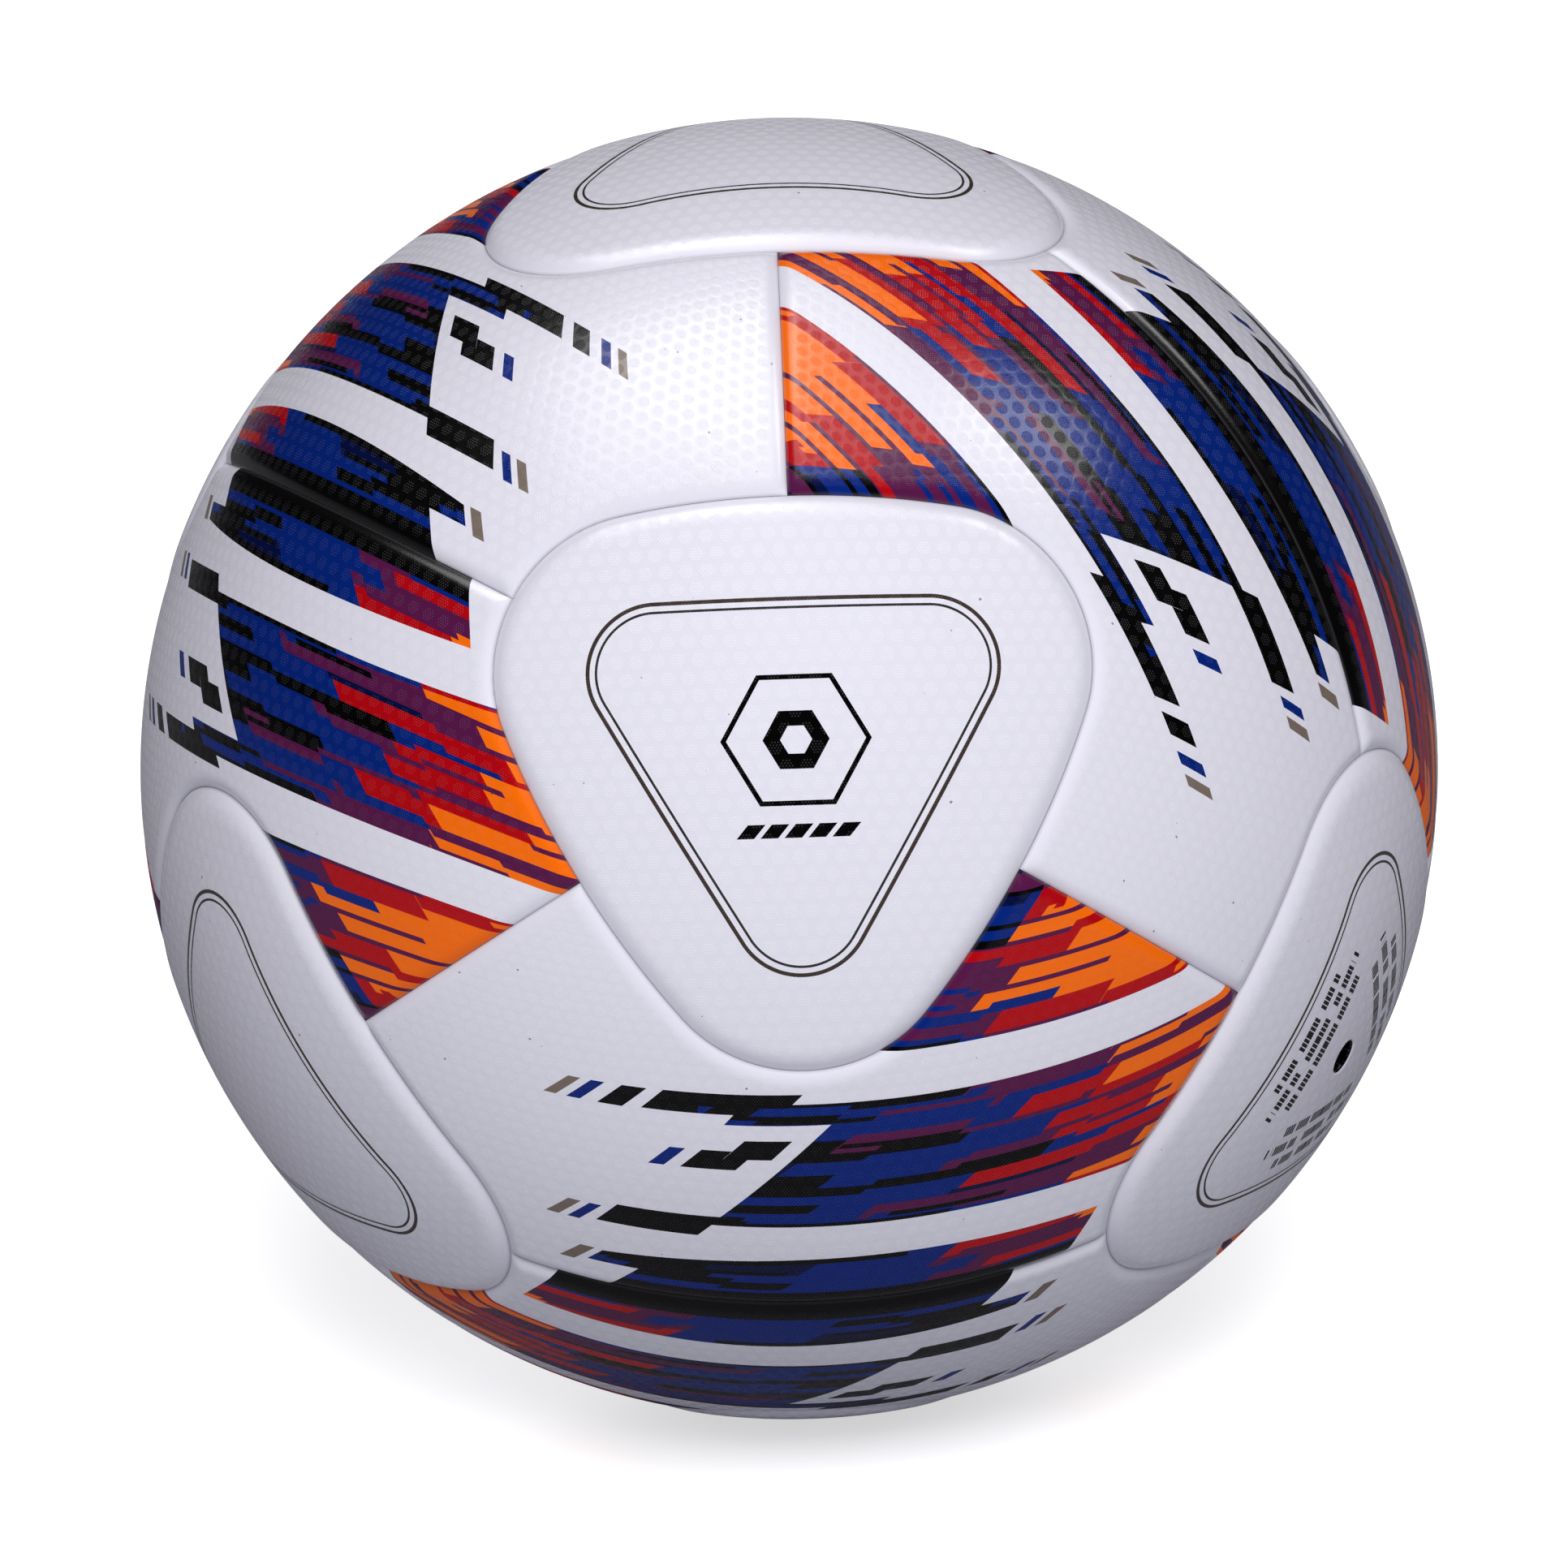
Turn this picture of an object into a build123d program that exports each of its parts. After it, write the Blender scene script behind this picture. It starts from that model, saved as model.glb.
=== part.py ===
from build123d import *

import math
import os

# A size 5 soccer ball, in millimetres, with its centre at the origin and +Z through the centre of
# the top triangle. Twenty heat-bonded panels, each a printed skin on a foam backing, cover a cloth
# carcass and an air bladder with one valve.
#
# The panel layout is a cube blown up onto the ball. A rounded triangle sits on each of its eight
# corners, with its own corners pointing at the middles of the cube's faces. Each of the six faces
# is cut along one diagonal into two wing panels, so there are twelve of those.

# Driving dimensions
CIRCUMFERENCE = 690.0        # a size 5 ball measures 685 to 695 round
BALL_R = CIRCUMFERENCE / (2 * math.pi)
SKIN_T = 1.0                 # printed skin
FOAM_T = 3.5                 # foam backing
CARCASS_T = 0.8              # cloth carcass
BLADDER_T = 0.7
GLUE_T = 0.05                # film of glue or air between layers

# Panel outlines, as angles at the ball's centre
SIDE_ANGLE = 21.8            # triangle's centre to the middle of a side
CORNER_ANGLE = 28.1          # triangle's centre to a corner
SIDE_BOW = 2.9               # radius of the bowed sides, in ball radii
SKIN_GAP = 0.4               # between neighbouring skins, at the foot of the seam
FOAM_GAP = 0.2
EDGE_R = 0.75                # rounding of a skin's outer edge

# Valve, along the axis of the triangle that holds it
SKIN_HOLE_R = 2.8
BOSS_R = 6.4                 # rubber housing, where it passes through the layers
BOSS_CLEARANCE = 0.2
BOSS_LENGTH = 21.0
FLANGE_R = 15.0
FLANGE_T = 1.0
PATCH_R = 22.0
PATCH_T = 0.5
CORE_R = 3.6                 # rubber plug inside the housing
CORE_LENGTH = 15.0
CORE_DEPTH = 1.4             # plug's face below the top of the boss
CORE_FIT = 0.05              # between plug and housing
NEEDLE_BORE_R = 1.05         # takes a 2.0 mm inflating needle
LEAD_IN = 0.6                # countersink at the mouth of the needle bore
HOUSING_HOLE_R = 1.6         # from the plug's pocket into the bladder

# Radii of the layers, from the outside in
SKIN_IN_R = BALL_R - SKIN_T
FOAM_OUT_R = SKIN_IN_R - GLUE_T
FOAM_IN_R = FOAM_OUT_R - FOAM_T
CARCASS_OUT_R = FOAM_IN_R - GLUE_T
CARCASS_IN_R = CARCASS_OUT_R - CARCASS_T
BLADDER_OUT_R = CARCASS_IN_R - GLUE_T
BLADDER_IN_R = BLADDER_OUT_R - BLADDER_T
PATCH_OUT_R = BLADDER_IN_R - GLUE_T
PATCH_IN_R = PATCH_OUT_R - PATCH_T
FLANGE_OUT_R = PATCH_IN_R - GLUE_T
FLANGE_IN_R = FLANGE_OUT_R - FLANGE_T
BOSS_TOP = math.sqrt(SKIN_IN_R**2 - BOSS_R**2) - GLUE_T
CORE_TOP = BOSS_TOP - CORE_DEPTH
CORE_BOTTOM = CORE_TOP - CORE_LENGTH

# Heights between which the cones that cut the triangles are drawn
CONE_LOW = 70.0
CONE_HIGH = 125.0

# The cube's corners, as directions from the ball's centre
LEAN = math.sqrt(8) / 3
CORNERS = {
    "top": Vector(0, 0, 1),
    "front": Vector(0, -LEAN, 1 / 3),
    "upper_right": Vector(0, -LEAN, 1 / 3).rotate(Axis.Z, 120),
    "upper_left": Vector(0, -LEAN, 1 / 3).rotate(Axis.Z, -120),
}
OPPOSITES = {"bottom": "top", "back": "front", "lower_left": "upper_right", "lower_right": "upper_left"}
for name, other in OPPOSITES.items():
    CORNERS[name] = -CORNERS[other]
VALVE_CORNER = "lower_right"

# Each wing panel: its name, the corner at its right angle, and the two ends of its long seam
WINGS = [
    ("front_right", "front", "top", "lower_right"),
    ("front_under", "front", "lower_left", "lower_right"),
    ("top_left", "top", "front", "upper_left"),
    ("top_back", "top", "upper_right", "upper_left"),
    ("left_side", "lower_left", "front", "upper_left"),
    ("left_under", "lower_left", "bottom", "upper_left"),
    ("right_side", "upper_right", "top", "lower_right"),
    ("right_back", "upper_right", "back", "lower_right"),
    ("back_left", "back", "upper_right", "upper_left"),
    ("back_under", "back", "bottom", "upper_left"),
    ("bottom_front", "bottom", "lower_left", "lower_right"),
    ("bottom_back", "bottom", "back", "lower_right"),
]

# The wing panel is drawn once, with the middle of its cube face on +Z, its right angle over +X
# and its long seam over the Y axis.
CORNER_TILT = math.acos(1 / math.sqrt(3))
RIGHT_ANGLE = Vector(math.sin(CORNER_TILT), 0, math.cos(CORNER_TILT))
SEAM_ENDS = [RIGHT_ANGLE.rotate(Axis.Z, 90), RIGHT_ANGLE.rotate(Axis.Z, -90)]


def aimed(direction, toward):
    """A frame at the ball's centre: local +Z along direction, local +X turned toward a point."""
    return Plane(origin=(0, 0, 0), x_dir=toward - direction * toward.dot(direction), z_dir=direction)


def polar(radius, angle, height):
    """A point at a radius, an angle in radians and a height."""
    return Vector(radius * math.cos(angle), radius * math.sin(angle), height)


def rounded_triangle(grow, height):
    """Flat face at a height that outlines the triangle, seen from the ball's centre.

    grow moves the outline outward on the ball. The three sides are wide arcs that bow out, and
    each corner is an arc tangent to its two sides.
    """
    margin = math.degrees(grow / BALL_R)
    side = height * math.tan(math.radians(SIDE_ANGLE + margin))
    tip = height * math.tan(math.radians(CORNER_ANGLE + margin))
    bow = height * SIDE_BOW
    corner_offset = (tip - side) * (2 * bow - tip - side) / (bow + side - 2 * tip)
    corner_centre = polar(corner_offset, 0, height)
    side_centre = polar(side - bow, math.pi / 3, height)
    join = side_centre + (corner_centre - side_centre).normalized() * bow
    join_r = math.hypot(join.X, join.Y)
    join_angle = math.atan2(join.Y, join.X)
    edges = []
    for k in range(3):
        turn = 2 * math.pi * k / 3
        start = polar(join_r, turn - join_angle, height)
        end = polar(join_r, turn + join_angle, height)
        next_start = polar(join_r, turn + 2 * math.pi / 3 - join_angle, height)
        edges.append(Edge.make_three_point_arc(start, polar(tip, turn, height), end))
        edges.append(Edge.make_three_point_arc(end, polar(side, turn + math.pi / 3, height), next_start))
    return Face(Wire(edges))


def triangle_cone(grow):
    """Cone from the ball's centre through the triangle's outline, about +Z, one corner over +X."""
    return loft([rounded_triangle(grow, CONE_LOW), rounded_triangle(grow, CONE_HIGH)], ruled=True)


def layer(outer_r, inner_r):
    """Hollow ball between two radii, with the seam of its surfaces turned away from the panels."""
    return Rotation(0, 90, 0) * (Sphere(outer_r) - Sphere(inner_r))


def triangle_panel(outer_r, inner_r, gap):
    """One layer of a triangular panel, centred on +Z."""
    return layer(outer_r, inner_r) & triangle_cone(-gap / 2)


def wing_panel(outer_r, inner_r, gap):
    """One layer of a wing panel: a third of a cube face's sector, less the triangles at its corners."""
    panel = layer(outer_r, inner_r)
    inward = [Vector(1, 0, 0)]
    for end in SEAM_ENDS:
        normal = RIGHT_ANGLE.cross(end).normalized()
        inward.append(normal if normal.Z > 0 else -normal)
    for normal in inward:
        panel = split(panel, bisect_by=Plane(origin=normal * (gap / 2), z_dir=normal), keep=Keep.TOP)
    for corner in [RIGHT_ANGLE] + SEAM_ENDS:
        panel = panel - aimed(corner, Vector(0, 0, 1)) * triangle_cone(gap / 2)
    return panel


def with_round_edge(skin):
    """Round the outer edges of a skin, so that two skins meet in a soft groove."""
    outer_edges = [e for e in skin.edges() if abs(e.position_at(0.5).length - BALL_R) < 0.01]
    return fillet(outer_edges, EDGE_R)


def upright(radius, low, high):
    """Solid cylinder about +Z between two heights."""
    return Pos(0, 0, (low + high) / 2) * Cylinder(radius, high - low)


def boss_hole():
    """The hole that the layers leave for the valve's boss, about +Z."""
    return upright(BOSS_R + BOSS_CLEARANCE, CONE_LOW, CONE_HIGH)


def valve_housing():
    """Rubber boss with a domed flange that is bonded inside the bladder, and a pocket for the plug."""
    flange = (Sphere(FLANGE_OUT_R) - Sphere(FLANGE_IN_R)) & upright(FLANGE_R, CONE_LOW, CONE_HIGH)
    pocket = upright(CORE_R + CORE_FIT, CORE_BOTTOM, CONE_HIGH)
    way_through = upright(HOUSING_HOLE_R, CONE_LOW, CONE_HIGH)
    return upright(BOSS_R, BOSS_TOP - BOSS_LENGTH, BOSS_TOP) + flange - pocket - way_through


def valve_core():
    """Rubber plug with the bore that an inflating needle goes down, countersunk at its mouth."""
    bore = upright(NEEDLE_BORE_R, CONE_LOW, CONE_HIGH)
    lead_in = Pos(0, 0, CORE_TOP - LEAD_IN / 2) * Cone(NEEDLE_BORE_R, NEEDLE_BORE_R + LEAD_IN, LEAD_IN)
    return upright(CORE_R, CORE_BOTTOM + GLUE_T, CORE_TOP) - bore - lead_in


def valve_patch():
    """Domed ring of rubber that bonds the valve's flange to the bladder."""
    disc = (Sphere(PATCH_OUT_R) - Sphere(PATCH_IN_R)) & upright(PATCH_R, CONE_LOW, CONE_HIGH)
    return disc - boss_hole()


def frame_of_triangle(corner):
    """Where a triangle goes: about its cube corner, with one tip toward the middle of a cube face."""
    direction = CORNERS[corner]
    neighbours = [v for v in CORNERS.values() if abs(v.dot(direction) - 1 / 3) < 0.01]
    return aimed(direction, direction + neighbours[0] + neighbours[1])


def frame_of_wing(right_angle, end_a, end_b):
    """Where a wing panel goes: its cube face's middle on +Z and its right angle toward +X."""
    face_middle = (CORNERS[end_a] + CORNERS[end_b]).normalized()
    return aimed(face_middle, CORNERS[right_angle])


def save(shape, node):
    """Write one node, and print what it holds."""
    export_step(shape, f"parts/{node}.step")
    print(f"{node}: {len(shape.solids())} solid, {shape.volume:.0f} mm3")


def save_triangles():
    """The eight triangular panels. The one with the valve has holes through both its layers."""
    skin = with_round_edge(triangle_panel(BALL_R, SKIN_IN_R, SKIN_GAP))
    foam = triangle_panel(FOAM_OUT_R, FOAM_IN_R, FOAM_GAP)
    for corner in CORNERS:
        frame = frame_of_triangle(corner)
        if corner == VALVE_CORNER:
            save(frame * (skin - upright(SKIN_HOLE_R, CONE_LOW, CONE_HIGH)), f"triangle_{corner}_skin")
            save(frame * (foam - boss_hole()), f"triangle_{corner}_foam")
        else:
            save(frame * skin, f"triangle_{corner}_skin")
            save(frame * foam, f"triangle_{corner}_foam")


def save_wings():
    """The twelve wing panels."""
    skin = with_round_edge(wing_panel(BALL_R, SKIN_IN_R, SKIN_GAP))
    foam = wing_panel(FOAM_OUT_R, FOAM_IN_R, FOAM_GAP)
    for name, right_angle, end_a, end_b in WINGS:
        frame = frame_of_wing(right_angle, end_a, end_b)
        save(frame * skin, f"wing_{name}_skin")
        save(frame * foam, f"wing_{name}_foam")


def save_core():
    """The carcass, the bladder and the valve."""
    frame = frame_of_triangle(VALVE_CORNER)
    save(frame * (layer(CARCASS_OUT_R, CARCASS_IN_R) - boss_hole()), "carcass")
    save(frame * (layer(BLADDER_OUT_R, BLADDER_IN_R) - boss_hole()), "bladder")
    save(frame * valve_patch(), "valve_patch")
    save(frame * valve_housing(), "valve_housing")
    save(frame * valve_core(), "valve_core")


os.makedirs("parts", exist_ok=True)
save_triangles()
save_wings()
save_core()
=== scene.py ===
"""Looks of a full-size soccer ball: 8 puffed triangular panels and 12 printed wing panels.

Every panel's skin is a closed mesh, worked out once on the sphere in a frame of its own and then
turned, or mirrored, to its place. Each vertex keeps its place on the panel as an attribute, and
the print and the pressed texture are drawn with that. Angles are in radians, and lengths are in
millimetres until a mesh is made, in metres.
"""

import math

import bpy
import numpy as np
from mathutils import Matrix, Vector


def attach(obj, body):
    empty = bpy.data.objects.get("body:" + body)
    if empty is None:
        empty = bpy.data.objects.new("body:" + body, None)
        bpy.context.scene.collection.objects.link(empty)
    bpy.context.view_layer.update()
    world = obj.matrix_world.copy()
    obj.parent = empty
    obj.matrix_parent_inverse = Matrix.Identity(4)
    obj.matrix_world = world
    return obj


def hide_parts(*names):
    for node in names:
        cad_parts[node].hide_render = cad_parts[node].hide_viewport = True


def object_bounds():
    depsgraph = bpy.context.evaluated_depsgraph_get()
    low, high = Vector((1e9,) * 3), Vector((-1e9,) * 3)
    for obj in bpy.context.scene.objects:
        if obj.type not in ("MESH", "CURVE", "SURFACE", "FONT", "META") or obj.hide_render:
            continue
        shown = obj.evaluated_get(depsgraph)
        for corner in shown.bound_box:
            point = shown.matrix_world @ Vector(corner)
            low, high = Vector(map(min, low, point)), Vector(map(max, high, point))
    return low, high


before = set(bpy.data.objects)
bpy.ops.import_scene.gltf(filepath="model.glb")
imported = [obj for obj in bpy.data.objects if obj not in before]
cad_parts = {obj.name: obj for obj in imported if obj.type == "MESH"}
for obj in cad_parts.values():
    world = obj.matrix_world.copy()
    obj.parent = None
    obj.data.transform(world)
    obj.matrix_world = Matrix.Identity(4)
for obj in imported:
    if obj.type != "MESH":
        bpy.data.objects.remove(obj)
CAD_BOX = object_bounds()

# ---------------------------------------------------------------- driving dimensions

MM = 0.001
BALL_R = CAD_BOX[1].z / MM
SKIN_INSIDE = BALL_R - 1.0         # the skin is 1 mm thick

SIDE_ANGLE = math.radians(21.8)    # from a triangle's middle to the middle of its side
CORNER_ANGLE = math.radians(28.1)  # from a triangle's middle to its rounded corner
SIDE_BOW = 2.9                     # radius of a triangle's side, in ball radii
SEAM_HALF_GAP = 0.03

TRIANGLE_RISE = 0.50               # how far the middle of a panel stands proud of the ball's radius
WING_RISE = 0.15
SEAM_DEPTH = 0.92                  # how far its edge lies below that radius
TRIANGLE_FOLD = 4.6                # how far from its edge a panel starts to fall
WING_FOLD = 2.8
FOLD_POWER = 2.3                   # 1 is a straight slope, more is a softer start

VALVE_HOLE_R = 2.8
VALVE_LIP = 0.7                    # radius of the rounded edge of the valve's hole

MESH_STEP = 2.0                    # size of a panel's quads, away from its seams
SEAM_ROWS = np.array([0, 0.06, 0.16, 0.3, 0.5, 0.75, 1.05, 1.4, 1.8, 2.3, 2.9, 3.6, 4.5, 5.6])
TRIANGLE_COLUMNS = 240
TRIANGLE_CAP_R = 0.8               # radius of a triangle's first ring, round its middle point
OUTLINE_COUNT = 3000               # points on the outline that distances are measured to
BAND_BEND = 0.18                   # how much a wing's printed bands close in towards its ends

CAMERA_AZIMUTH = math.radians(-0.68)
CAMERA_ELEVATION = math.radians(17.75)
CAMERA_ROLL = math.radians(-1.65)
CAMERA_DISTANCE = 14.896           # ball radii
CAMERA_LENS = 221.1
CAMERA_SHIFT = (-0.0033, -0.0100)

STUDIO_COLOUR = (0.93, 0.94, 1.0, 1.0)
STUDIO_SEEN = 1.12                 # how bright the studio is to look at
STUDIO_LIGHTING = 0.145            # and as a light
STUDIO_REFLECTED = 0.01            # and in reflections

FLOOR_HALF = 12.0                  # metres from the ball to the edge of the floor
FLOOR_GLOW = 0.6                   # light of the floor's own, near the ball
FLOOR_GLOW_AWAY = 0.45             # and how much more it has away from the ball

# ---------------------------------------------------------------- panel layout

TURN = math.radians(120)


def unit(vector):
    return vector / np.linalg.norm(vector)


def around_z(vector, angle):
    x, y, z = vector
    c, s = math.cos(angle), math.sin(angle)
    return np.array([x * c - y * s, x * s + y * c, z])


FRONT = np.array([0.0, -math.sqrt(8) / 3, 1 / 3])
CORNERS = {
    "top": np.array([0.0, 0.0, 1.0]),
    "front": FRONT,
    "upper_right": around_z(FRONT, TURN),
    "upper_left": around_z(FRONT, -TURN),
}
CORNERS["bottom"] = -CORNERS["top"]
CORNERS["back"] = -CORNERS["front"]
CORNERS["lower_left"] = -CORNERS["upper_right"]
CORNERS["lower_right"] = -CORNERS["upper_left"]
BADGE_CORNER = "front"
VALVE_CORNER = "lower_right"

# A wing fills half of a cube's face. It is given by the corner at its right angle, and the corners
# at the white end and the orange end of its long seam.
WINGS = {
    "front_right": ("front", "lower_right", "top"),
    "front_under": ("front", "lower_left", "lower_right"),
    "top_left": ("top", "front", "upper_left"),
    "top_back": ("top", "upper_left", "upper_right"),
    "left_side": ("lower_left", "upper_left", "front"),
    "left_under": ("lower_left", "bottom", "upper_left"),
    "right_side": ("upper_right", "top", "lower_right"),
    "right_back": ("upper_right", "lower_right", "back"),
    "back_left": ("back", "upper_right", "upper_left"),
    "back_under": ("back", "upper_left", "bottom"),
    "bottom_front": ("bottom", "lower_right", "lower_left"),
    "bottom_back": ("bottom", "back", "lower_right"),
}

# ---------------------------------------------------------------- geometry on the sphere


def on_sphere(angle, azimuth):
    """Unit vectors at an angle from +Z, and at an azimuth from +X towards +Y."""
    angle, azimuth = np.broadcast_arrays(angle, azimuth)
    level = np.sin(angle)
    return np.stack([level * np.cos(azimuth), level * np.sin(azimuth), np.cos(angle)], -1)


def triangle_outline(azimuth):
    """Angle from a triangle's middle to its outline. Azimuth 0 points at a corner."""
    side = math.tan(SIDE_ANGLE)
    corner = math.tan(CORNER_ANGLE)
    round_at = (corner - side) * (2 * SIDE_BOW - corner - side) / (SIDE_BOW + side - 2 * corner)
    round_r = corner - round_at
    bow_at = SIDE_BOW - side
    round_middle = round_at * np.array([0.5, math.sqrt(0.75)])
    meeting = round_middle + round_r * unit(round_middle + np.array([bow_at, 0.0]))
    meeting_angle = math.atan2(meeting[1], meeting[0])

    from_corner = np.abs((azimuth + TURN / 2) % TURN - TURN / 2)
    from_side = TURN / 2 - from_corner
    inside_bow = SIDE_BOW**2 - (bow_at * np.sin(from_side)) ** 2
    along_side = np.sqrt(inside_bow) - bow_at * np.cos(from_side)
    inside_round = np.maximum(round_r**2 - (round_at * np.sin(from_corner)) ** 2, 0)
    along_round = round_at * np.cos(from_corner) + np.sqrt(inside_round)
    return np.arctan(np.where(from_side < meeting_angle, along_side, along_round))


# A wing's own frame has its right-angle corner on +Z and the middle of its face over +X.
HALF_FACE = TURN / 2
FACE_ANGLE = math.acos(1 / math.sqrt(3))
EDGE_ANGLE = math.acos(1 / 3)
RIGHT_CORNER = np.array([0.0, 0.0, 1.0])
FACE_MIDDLE = on_sphere(FACE_ANGLE, 0.0)
WHITE_CORNER = on_sphere(EDGE_ANGLE, -HALF_FACE)
ORANGE_CORNER = on_sphere(EDGE_ANGLE, HALF_FACE)
OWN_CORNERS = (RIGHT_CORNER, WHITE_CORNER, ORANGE_CORNER)
FACE_RIGHT = np.array([0.0, 1.0, 0.0])
FACE_UP = np.cross(FACE_RIGHT, FACE_MIDDLE) * -1


def axes_about(corner):
    """Directions on the sphere at a face's corner: towards the face's middle, and across it."""
    towards = unit(FACE_MIDDLE - corner * (FACE_MIDDLE @ corner))
    return towards, np.cross(corner, towards)


def outline_points(corner):
    """The outline of the triangle about a corner, in the wing's frame."""
    towards, across = axes_about(corner)
    azimuth = np.linspace(-math.pi, math.pi, OUTLINE_COUNT)[:, None]
    angle = triangle_outline(azimuth)
    outward = np.cos(azimuth) * towards + np.sin(azimuth) * across
    return np.cos(angle) * corner + np.sin(angle) * outward


def beyond_outline(points, corner):
    """How far points are past the outline of the triangle about a corner, along its radius."""
    towards, across = axes_about(corner)
    azimuth = np.arctan2(points @ across, points @ towards)
    return np.arccos(np.clip(points @ corner, -1, 1)) - triangle_outline(azimuth)


def distance_to_curve(points, curve):
    cosine = np.concatenate([np.max(part @ curve.T, axis=1) for part in np.array_split(points, 8)])
    return BALL_R * np.arccos(np.clip(cosine, -1, 1))


def distance_to_plane(points, normal):
    return BALL_R * np.arcsin(np.clip(points @ normal, -1, 1))


def long_seam_angle(azimuth):
    """Angle from the right-angle corner to the wing's long seam."""
    return np.arctan(-FACE_UP[2] / (FACE_UP[0] * np.cos(azimuth)))


def end_triangle_angle(azimuth):
    """Angle from the right-angle corner to the outline of the triangle at the near end."""
    near = np.full_like(azimuth, SIDE_ANGLE)
    far = long_seam_angle(azimuth)
    for _ in range(40):
        middle = (near + far) / 2
        points = on_sphere(middle, azimuth)
        white = beyond_outline(points, WHITE_CORNER)
        orange = beyond_outline(points, ORANGE_CORNER)
        outside = np.where(azimuth < 0, white, orange) > 0
        near = np.where(outside, middle, near)
        far = np.where(outside, far, middle)
    return near


# ---------------------------------------------------------------- panel profiles


def fold_drop(distance, width):
    """Share of the full drop at a distance from a seam: 1 on it, and 0 from the width inward."""
    return np.clip(1 - distance / width, 0, 1) ** FOLD_POWER


def spread(length):
    """Places from 0 to a length, close together at both ends, where a panel folds down."""
    first, last = SEAM_ROWS[-1], length - SEAM_ROWS[-1]
    count = max(int((last - first) / MESH_STEP), 2)
    middle = np.linspace(first, last, count + 1)[1:-1]
    return np.concatenate([SEAM_ROWS, middle, (length - SEAM_ROWS)[::-1]])


# ---------------------------------------------------------------- meshes


def grid_faces(index, loops):
    """Quads of a grid of vertex numbers; with loops, the last column meets the first."""
    here = index if loops else index[:, :-1]
    beside = np.roll(index, -1, axis=1) if loops else index[:, 1:]
    return np.stack([here[:-1], beside[:-1], beside[1:], here[1:]], -1).reshape(-1, 4)


def strip_faces(above, below, loops):
    """Quads between two rows of vertex numbers."""
    return grid_faces(np.stack([below, above]), loops)


def closed_skin(outer, inner, loops, capped):
    """Points and faces of a closed skin between two grids of points, (rows, columns, 3) each.

    With capped, the first row shrinks to one point in the middle of each side.
    """
    count = outer.shape[0] * outer.shape[1]
    top = np.arange(count).reshape(outer.shape[:2])
    bottom = top + count
    faces = grid_faces(top, loops).tolist() + grid_faces(bottom, loops)[:, ::-1].tolist()
    faces += strip_faces(bottom[-1], top[-1], loops).tolist()
    points = [outer.reshape(-1, 3), inner.reshape(-1, 3)]
    if capped:
        points += [outer[:1].mean(axis=1), inner[:1].mean(axis=1)]
        for ring, middle, flip in ((top[0], 2 * count, 1), (bottom[0], 2 * count + 1, -1)):
            for here, beside in zip(ring, np.roll(ring, -1)):
                faces.append([beside, here, middle][::flip])
    else:
        faces += strip_faces(top[0], bottom[0], loops).tolist()
    if not loops:
        faces += strip_faces(top[:, 0], bottom[:, 0], False)[:, ::-1].tolist()
        faces += strip_faces(top[:, -1], bottom[:, -1], False).tolist()
    return np.concatenate(points), faces


def make_panel(name, points, faces, places, matrix, material):
    """A smooth object in metres, with each vertex's place on the panel as an attribute."""
    points = points @ matrix.T
    first = points[faces[0]]
    normal = np.cross(first[1] - first[0], first[2] - first[1])
    if normal @ first[0] < 0:
        faces = [face[::-1] for face in faces]
    mesh = bpy.data.meshes.new(name)
    mesh.from_pydata((points * MM).tolist(), [], faces)
    attribute = mesh.attributes.new("panel", "FLOAT_VECTOR", "POINT")
    attribute.data.foreach_set("vector", places.astype(np.float32).ravel())
    mesh.shade_smooth()
    mesh.materials.append(material)
    obj = bpy.data.objects.new(name, mesh)
    bpy.context.scene.collection.objects.link(obj)
    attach(obj, "root")
    return obj


def wing_azimuths():
    """Columns of a wing: close together at its short seams and at the ends of its long seam."""
    towards, across = axes_about(WHITE_CORNER)
    tip = math.cos(CORNER_ANGLE) * WHITE_CORNER + math.sin(CORNER_ANGLE) * towards
    tip_azimuth = -math.atan2(tip[1], tip[0])
    reach = BALL_R * math.sin(HALF_FACE)
    gap = SEAM_HALF_GAP / reach
    side = tip_azimuth + spread(reach * (HALF_FACE - gap - tip_azimuth)) / reach
    middle = -tip_azimuth + spread(reach * 2 * tip_azimuth) / reach
    return np.concatenate([-side[::-1], middle[1:-1], side])


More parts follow.
